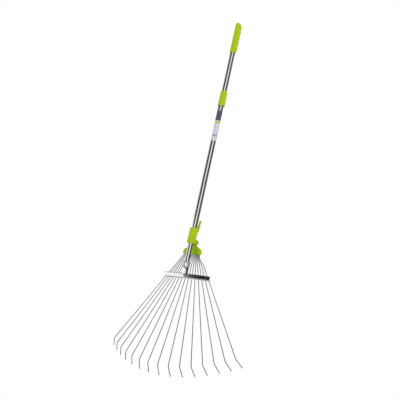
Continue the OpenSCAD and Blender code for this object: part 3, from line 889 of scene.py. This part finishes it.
# %% Screws of the holder
CROSS_LONG, CROSS_THIN = 1.7, 0.35
screw_bm = bmesh.new()
for sign in (-1, 1):
    head = at(sign * SCREW_X, 31.1, SCREW_H)
    rod(head - Vector((0, 7.8 * MM, 0)), head, 1.5 * MM, screw_bm, 24)
    rod(head, head + Vector((0, 2.2 * MM, 0)), 3.0 * MM, screw_bm, 40, 2.4 * MM)
for sign in (-1, 1):
    for wide, tall in ((CROSS_LONG, CROSS_THIN), (CROSS_THIN, CROSS_LONG)):
        screw_bm = carve(screw_bm, box_at(at(sign * SCREW_X - wide, 32.3, SCREW_H - tall),
                                          at(sign * SCREW_X + wide, 35, SCREW_H + tall)))
make_piece("holder_screws_cross", screw_bm, zinc, "slider",
           ["holder_screws"])

# %% [markdown]
# ## The crossbar
# The crossbar is a strip folded into a channel: a web in front, and a flange above
# and below with a slot for each wire. A folded sheet has a small radius inside
# and a bigger one outside, so the section is drawn with both. It is swept on a
# wide arc, and the upper corners of its two ends are rounded off. The slots are
# cut with blocks that are long enough for each wire at both ends of its travel.

# %% Crossbar sheet
BAR_H, BAR_D, BAR_T, BAR_HALF = 18.0, 15.5, 1.5, 122.0
BAR_ARC, BAR_MID_Y, BAR_SPAN, BAR_WEB_Y = 690.0, 13.8, 110.0, 4.0
BAR_AXIS_Y = BAR_MID_Y + BAR_ARC
FOLD, END_ROUND = 2.4, 5.0
BEND = math.asin(BAR_HALF / BAR_ARC)


def corner(centre, radius, start, steps=4):
    """A quarter turn of a section's fold."""
    angles = [math.radians(start + 90 * i / steps) for i in range(steps + 1)]
    return [(centre[0] + radius * math.cos(angle), centre[1] + radius * math.sin(angle))
            for angle in angles]


web_rows = [BAR_H - END_ROUND, BAR_H - END_ROUND * 0.7]
outside = ([(BAR_D, 0.0)] + corner((FOLD, FOLD), FOLD, 180)[::-1] + [(0.0, h) for h in web_rows]
           + corner((FOLD, BAR_H - FOLD), FOLD, 90)[::-1] + [(BAR_D, BAR_H)])
inside = ([(BAR_D, BAR_H - BAR_T)] + corner((FOLD, BAR_H - FOLD), FOLD - BAR_T, 90)
          + [(BAR_T, h) for h in web_rows[::-1]] + corner((FOLD, FOLD), FOLD - BAR_T, 180)
          + [(BAR_D, BAR_T)])
bar_section = outside + inside


def bar_point(bend, _turn, number):
    """A point of the section at an angle round the bar's arc, drawn in where an end is round."""
    depth, height = bar_section[number]
    radius = BAR_AXIS_Y - BAR_WEB_Y - depth
    over = max(0.0, height - (BAR_H - END_ROUND)) / END_ROUND
    shorter = END_ROUND * (1 - math.sqrt(1 - over ** 2)) / BAR_ARC
    bend *= 1 - shorter / BEND
    return Vector((radius * math.sin(bend) * MM, (BAR_AXIS_Y - radius * math.cos(bend)) * MM,
                   above_bar(height)))


bar_bm = loft([BEND * (2 * i / 64 - 1) for i in range(65)], bar_point, len(bar_section),
              ends="strip")
print("crossbar before its slots:", len(bar_bm.faces), "faces")

# %% Where each wire turns, crosses the bar and bends
TINES, WIRE_R, HOLDER_SPAN, TRAVEL = 15, 1.75, 39.0, 250.0
TINE_L, OUTER_GAIN, HOOK_L, HOOK_A = 475.0, 12.0, 42.0, math.radians(39)
PIVOT_H, ROOT_TOP = 105.0, 121.0


def share(k):
    """The wire's place across the fan, from -1 on the left to 1 on the right."""
    return (2 * k - TINES - 1) / (TINES - 1)


def pivot(k):
    """Where the wire turns, in millimetres from the bar's foot."""
    x = HOLDER_SPAN * share(k)
    return Vector((x, ARC_Y + math.sqrt(ARC ** 2 - x ** 2), PIVOT_H))


def crossing(k):
    """Where the wire passes the middle of the bar."""
    x = BAR_SPAN * share(k)
    return Vector((x, BAR_AXIS_Y - math.sqrt(BAR_ARC ** 2 - x ** 2), BAR_H / 2))


print("outer wire runs", tuple(round(c, 1) for c in crossing(15) - pivot(15)), "mm to the bar")

# %% Slots of the crossbar
SIDE_GAP, DEPTH_GAP, SLOT_ROUND, CUT_REACH = 1.05, 0.45, 1.5 * MM, 1.6
for k in range(1, TINES + 1):
    run = crossing(k) - pivot(k)
    slots = bmesh.new()
    for flange in (BAR_T / 2, BAR_H - BAR_T / 2):
        rise = flange - BAR_H / 2
        wide = run / abs(run.z) * -rise
        narrow = run / (abs(run.z) + TRAVEL) * -rise
        grow_x = WIRE_R / math.cos(math.atan(run.x / run.z)) + SIDE_GAP
        grow_y = WIRE_R + DEPTH_GAP
        x, y = crossing(k).x, crossing(k).y
        block = box_at(at(x + min(wide.x, narrow.x) - grow_x, y + min(wide.y, narrow.y) - grow_y,
                          flange - CUT_REACH),
                       at(x + max(wide.x, narrow.x) + grow_x, y + max(wide.y, narrow.y) + grow_y,
                          flange + CUT_REACH))
        upright = [e for e in block.edges if abs(e.verts[0].co.z - e.verts[1].co.z) > 1 * MM]
        bevel(block, upright, SLOT_ROUND, 4)
        block_mesh = mesh_from(block, "slot")
        slots.from_mesh(block_mesh)
        bpy.data.meshes.remove(block_mesh)
    bar_bm = carve(bar_bm, slots)
make_piece("crossbar_sheet", bar_bm, sheet, "pole",
           ["crossbar"], 30)

# %% [markdown]
# ## The wires
# Each wire is clamped upright in the holder, curves into its line through the
# bar's slots, runs straight and ends in a hook that is bent back sharply. We lay
# out the path of its centre, with points close together where it curves, and
# sweep a small circle along it. The wires flex between the holder and the bar as
# the slider moves.
# The curve is long for the wires on the right and short for those on the left.

# %% Path of a wire
REACH_LEFT, REACH_RIGHT, BEND_REACH = 20, 54, 6


def curve_point(p0, p1, p2, p3, t):
    """A point of the smooth curve with ends p0 and p3 that heads for p1 and comes from p2."""
    u = 1 - t
    return p0 * u ** 3 + p1 * 3 * u * u * t + p2 * 3 * u * t * t + p3 * t ** 3


def wire_path(k):
    """The centre of a wire, the direction of its hook and the height where it is on its line."""
    start, run = pivot(k), crossing(k) - pivot(k)
    tilt = math.asin(run.y / run.length)
    swing = math.atan2(-run.x, -run.z)
    lay = Matrix.Rotation(swing, 3, "Y") @ Matrix.Rotation(tilt, 3, "X")
    line = lay @ Vector((0, 0, -1))
    hook = lay @ Vector((0, math.sin(HOOK_A), -math.cos(HOOK_A)))
    reach = REACH_LEFT + (REACH_RIGHT - REACH_LEFT) * smooth_step(clamped((share(k) + 0.35) / 0.7))
    joins = start + line * reach
    heads_for = Vector((start.x, start.y, PIVOT_H - reach * 0.45))
    path = [Vector((start.x, start.y, ROOT_TOP - 5 * i)) for i in range(4)]
    path += [curve_point(start, heads_for, joins - line * reach * 0.3, joins, i / 18)
             for i in range(19)]
    bend_at = TINE_L + OUTER_GAIN * share(k) ** 2
    straight = bend_at - BEND_REACH - reach
    path += [start + line * (reach + straight * i / 26) for i in range(1, 27)]
    bend = start + line * bend_at
    path += [curve_point(bend - line * BEND_REACH, bend - line * 1.5, bend + hook * 1.5,
                         bend + hook * BEND_REACH, i / 10) for i in range(1, 11)]
    path += [bend + hook * (BEND_REACH + (HOOK_L - BEND_REACH) * i / 5) for i in range(1, 6)]
    return path, hook, joins.z


# %% Sweep the wires
MIDDLE_TINE = 8


def wire_point(ring, turn, _):
    """A point round a ring, which is a centre, two directions across the wire and a radius."""
    centre, one, other, radius = ring
    return ((centre + (one * math.cos(turn) + other * math.sin(turn)) * radius) * MM
            + Vector((0, 0, bar_foot)))


for k in range(1, TINES + 1):
    path, hook, straight_from = wire_path(k)
    ahead = [(path[min(i + 1, len(path) - 1)] - path[max(i - 1, 0)]).normalized()
             for i in range(len(path))]
    beside = Vector((1, 0, 0))
    rings = []
    for centre, forward in zip(path, ahead):
        beside = (beside - forward * beside.dot(forward)).normalized()
        rings.append((centre, beside, forward.cross(beside), WIRE_R))
    tip, one, other, _ = rings[-1]
    for beyond, smaller in ((0.9, 0.15), (1.5, 0.7)):
        rings.append((tip + hook * beyond, one, other, WIRE_R - smaller))
    bm = loft(rings, wire_point, 14)
    node = f"tine_{k:02d}"
    stands = [node] + (["tine_roots"] if k == MIDDLE_TINE else [])
    wire = make_piece(f"wire_{k:02d}", bm, wire_finish, None, stands)
    x, y = pivot(k).x * MM, pivot(k).y * MM
    above_bar(straight_from)
    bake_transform(wire)

# %% [markdown]
# ## The crossbar's bolt
# A hexagon bolt with a washer holds the flat end of the pole against the web, and
# a nut closes it behind. The edges of a hexagon's outer face are broken by a small
# bevel, which catches the light and makes the head look like metal.

# %% Bolt, washer and nut
BOLT_H, HEX_CORNER_R, HEX_BEVEL = 10.0, 5.6 * MM, 0.55 * MM
WASHER_HOLE_R, WASHER_R, WASHER_T, WASHER_EDGE = 3.2 * MM, 6.2 * MM, 1.2 * MM, 0.3 * MM


def hexagon(y_from, y_to):
    """A hexagon of nearly 10 mm across its flats, bevelled on its outer face."""
    bm = rod(at(0, y_from, BOLT_H), at(0, y_to, BOLT_H), HEX_CORNER_R, sides=6)
    outer = max(y_from, y_to) if y_from > 0 else min(y_from, y_to)
    face = [e for e in bm.edges if all(abs(v.co.y - outer * MM) < 1e-6 for v in e.verts)]
    bevel(bm, face, HEX_BEVEL, 2)
    return bm


head_bm = hexagon(-4.2, -0.2)
rod(at(0, -1.2, BOLT_H), at(0, 10.0, BOLT_H), 3 * MM, head_bm)
make_piece("crossbar_bolt_hex", head_bm, zinc, "pole", ["crossbar_bolt"])
washer_bm = turned([(WASHER_HOLE_R, 0), (WASHER_R - WASHER_EDGE, 0), (WASHER_R, WASHER_EDGE),
                    (WASHER_R, WASHER_T - WASHER_EDGE), (WASHER_R - WASHER_EDGE, WASHER_T),
                    (WASHER_HOLE_R, WASHER_T)], 64)
lie_down = Matrix.Rotation(math.radians(-90), 3, "X")
bmesh.ops.rotate(washer_bm, verts=washer_bm.verts, matrix=lie_down)
bmesh.ops.translate(washer_bm, verts=washer_bm.verts, vec=at(0, -0.2, BOLT_H))
make_piece("crossbar_washer_round", washer_bm, zinc, "pole",
           ["crossbar_washer"])
make_piece("crossbar_nut_hex", hexagon(5.6, 9.6), zinc, "pole",
           ["crossbar_nut"])

# %% [markdown]
# ## Parts that keep their engineering shape
# The parts inside the twist lock, the guide bush and the pressure pad are right
# as they are. They only need a finish in their material slots.

# %% Finishes of the inner parts
for name in ("collet", "guide_bush", "pressure_pad"):
    for place_for_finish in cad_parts[name].material_slots:
        place_for_finish.material = nylon.material
print("kept:", [n for n, o in sorted(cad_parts.items()) if not o.hide_render])
